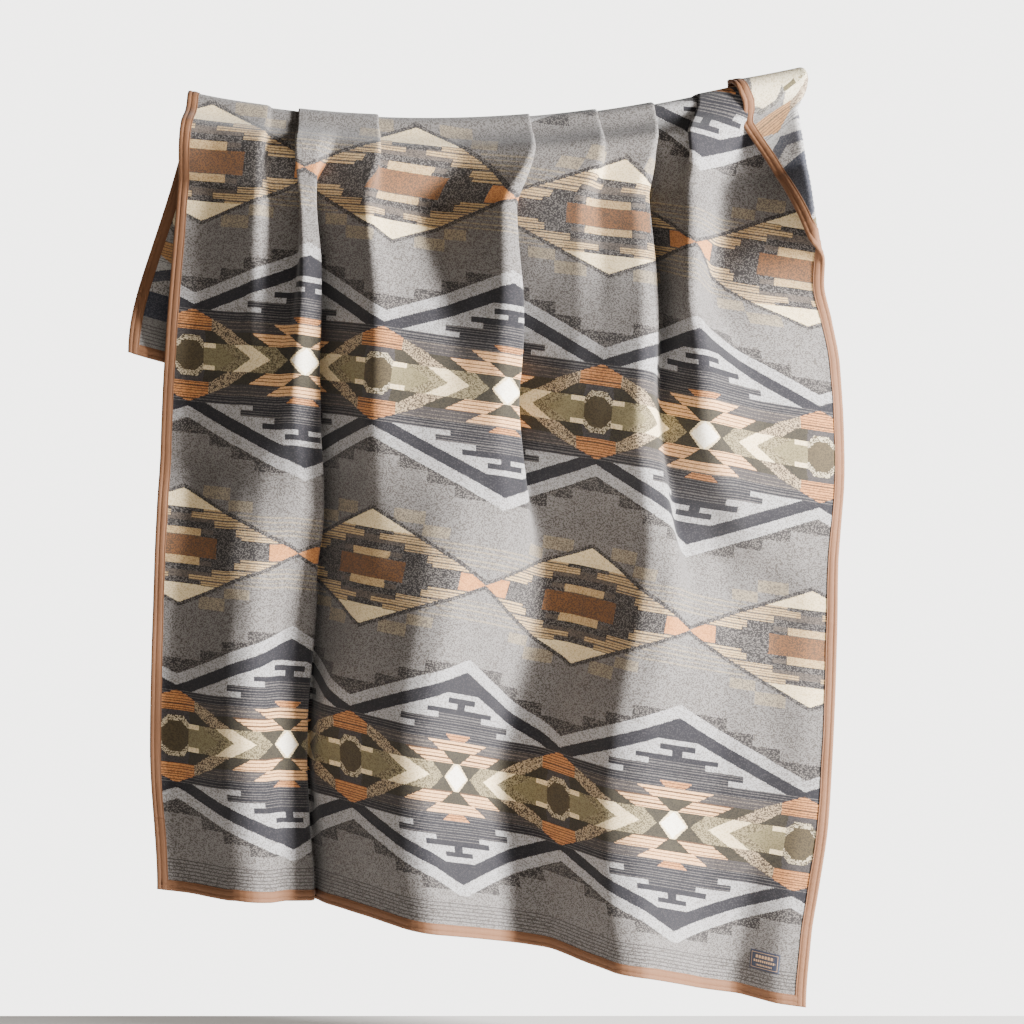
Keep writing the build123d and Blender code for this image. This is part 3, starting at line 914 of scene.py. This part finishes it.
FLOOR_Z = -1780.0
FLOOR_FRONT = -6000.0
FLOOR_BACK = 500.0
FLOOR_SIDE = 4000.0
floor_points = [(-FLOOR_SIDE, FLOOR_FRONT, FLOOR_Z), (FLOOR_SIDE, FLOOR_FRONT, FLOOR_Z),
                (FLOOR_SIDE, FLOOR_BACK, FLOOR_Z), (-FLOOR_SIDE, FLOOR_BACK, FLOOR_Z)]
floor = make_mesh("floor", floor_points, [(0, 1, 2, 3)], [(0, 0), (8, 0), (8, 6), (0, 6)],
                  plain("pale_floor", (236, 232, 227)), smooth_faces=False)


def area_light(name, place, target, width, height, watts, colour):
    """A rectangular light at a place, turned towards a target."""
    data = bpy.data.lights.new(name, "AREA")
    data.shape = "RECTANGLE"
    data.size = width
    data.size_y = height
    data.energy = watts
    data.color = colour
    lamp = bpy.data.objects.new(name, data)
    lamp.location = place
    lamp.rotation_mode = "QUATERNION"
    way = Vector(target) - Vector(place)
    lamp.rotation_quaternion = way.to_track_quat("-Z", "Y")
    bpy.context.scene.collection.objects.link(lamp)


# each light: name, place, target, width and height in metres, then watts and colour
LIGHTS = (
    ("key", (4.95, -2.25, -0.1), (0.1, 0.0, -0.8), 1.0, 2.0, 2250.0, (0.99, 0.99, 1.0)),
    ("fill", (-1.5, -5.5, 0.4), (0.1, 0.0, -0.8), 3.0, 3.0, 24.0, (1.0, 0.93, 0.85)),
    ("rear", (-1.5, 4.5, 0.6), (0.1, 0.0, -0.5), 3.0, 3.0, 120.0, (1.0, 0.98, 0.96)),
)
for light in LIGHTS:
    area_light(*light)

BACKGROUND_SHOWN = 5.0          # strength of the background as the camera sees it
BACKGROUND_LIGHT = 0.15         # strength of the light it gives

world = bpy.data.worlds.new("pale_room")
world.use_nodes = True
sky = world.node_tree
sky.nodes.clear()
seen = sky.nodes.new("ShaderNodeBackground")
seen.inputs[0].default_value = linear((240, 238, 235))
seen.inputs[1].default_value = BACKGROUND_SHOWN
glow = sky.nodes.new("ShaderNodeBackground")
glow.inputs[0].default_value = linear((246, 234, 220))
glow.inputs[1].default_value = BACKGROUND_LIGHT
ray = sky.nodes.new("ShaderNodeLightPath")
choose = sky.nodes.new("ShaderNodeMixShader")
shown = sky.nodes.new("ShaderNodeOutputWorld")
sky.links.new(ray.outputs["Is Camera Ray"], choose.inputs[0])
sky.links.new(glow.outputs[0], choose.inputs[1])
sky.links.new(seen.outputs[0], choose.inputs[2])
sky.links.new(choose.outputs[0], shown.inputs[0])
bpy.context.scene.world = world

CAMERA_LENS = 110.0
SENSOR_WIDTH = 36.0
CAMERA_AIM = (0.1178, -0.06, -0.7325)
VIEW_WIDTH = 1.9456             # width seen at the blanket, in metres
lens_data = bpy.data.cameras.new("camera")
lens_data.lens = CAMERA_LENS
lens_data.sensor_width = SENSOR_WIDTH
camera = bpy.data.objects.new("camera", lens_data)
distance = VIEW_WIDTH * CAMERA_LENS / SENSOR_WIDTH
camera.location = (CAMERA_AIM[0], CAMERA_AIM[1] - distance, CAMERA_AIM[2])
camera.rotation_euler = (math.pi / 2, 0.0, 0.0)
lens_data.clip_end = 60.0
bpy.context.scene.collection.objects.link(camera)
bpy.context.scene.camera = camera
